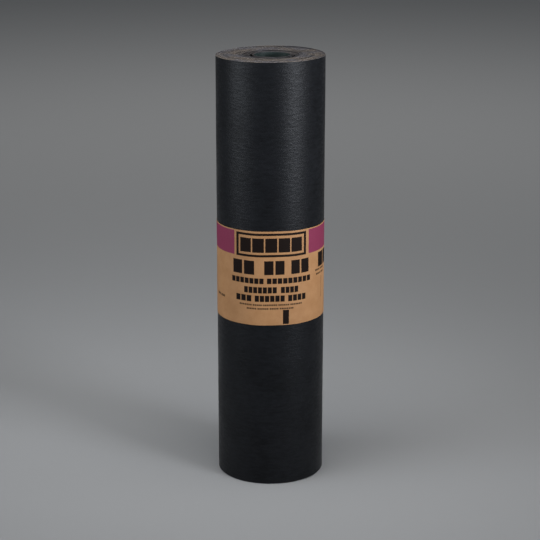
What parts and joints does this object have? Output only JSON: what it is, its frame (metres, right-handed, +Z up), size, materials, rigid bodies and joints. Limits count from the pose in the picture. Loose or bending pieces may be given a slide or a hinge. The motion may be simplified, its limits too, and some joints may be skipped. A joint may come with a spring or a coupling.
{
  "type": "roll of roofing felt",
  "caption": "Coreless roll of black asphalt-saturated roofing felt standing on end, with its turns showing on both ends and a kraft paper label band round its middle.",
  "frame": {"origin": "centre of the bottom end, on the roll's axis, at the level of the floor it stands on", "axes": "+Z up along the roll's axis; -Y towards the printed front of the label band; the band's glued lap is on the +Y side"},
  "size_m": [0.2292, 0.2295, 0.9144],
  "materials": {
    "saturated_felt": "matte",
    "kraft_paper": "matte"
  },
  "bodies": {
    "root": {"felt_roll": "saturated_felt", "label_band": "kraft_paper"}
  },
  "joints": []
}
